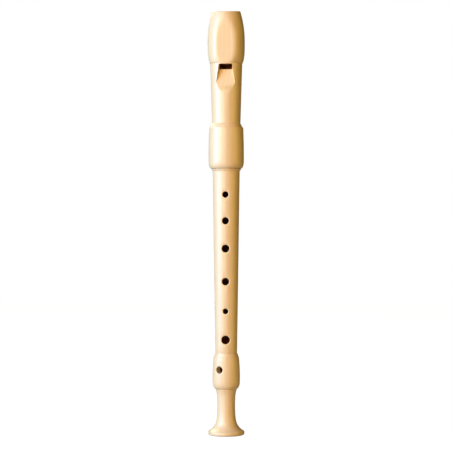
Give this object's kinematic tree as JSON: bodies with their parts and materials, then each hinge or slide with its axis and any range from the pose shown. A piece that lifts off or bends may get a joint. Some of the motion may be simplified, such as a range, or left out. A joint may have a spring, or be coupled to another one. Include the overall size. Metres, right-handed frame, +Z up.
{
  "type": "recorder",
  "caption": "Jointed wooden soprano recorder: scooped beak with windway, window and labium, finger holes in front, a thumb hole behind, a waisted foot and a flared bell.",
  "frame": {"origin": "centre of the bell's flat end face, on the bore's axis", "axes": "+Z up the bore to the tip of the beak, -Y out of the window and the finger holes, -X towards the side that the little-finger hole is turned to"},
  "size_m": [0.029, 0.0287, 0.3311],
  "materials": {
    "maple": "satin oiled maple",
    "cedar": "bare cedar",
    "cork": "sanded cork"
  },
  "bodies": {
    "middle": {"middle_joint": "maple"},
    "upper_cork": {"upper_tenon_cork": "cork"},
    "head": {"head_joint": "maple"},
    "block": {"block": "cedar"},
    "lower_cork": {"lower_tenon_cork": "cork"},
    "foot": {"foot_joint": "maple"}
  },
  "joints": [
    {"name": "head_turn", "type": "hinge", "parent": "middle", "child": "upper_cork", "pos_m": [0, 0, 0.208], "axis": [0, 0, 1], "continuous": true},
    {"name": "head_slide", "type": "slide", "parent": "upper_cork", "child": "head", "axis": [0, 0, 1], "range_m": [0, 0.03]},
    {"name": "block_slide", "type": "slide", "parent": "head", "child": "block", "axis": [0, 0, 1], "range_m": [0, 0.05]},
    {"name": "foot_turn", "type": "hinge", "parent": "middle", "child": "lower_cork", "pos_m": [0, 0, 0.064], "axis": [0, 0, 1], "continuous": true},
    {"name": "foot_slide", "type": "slide", "parent": "lower_cork", "child": "foot", "axis": [0, 0, -1], "range_m": [0, 0.015]}
  ]
}
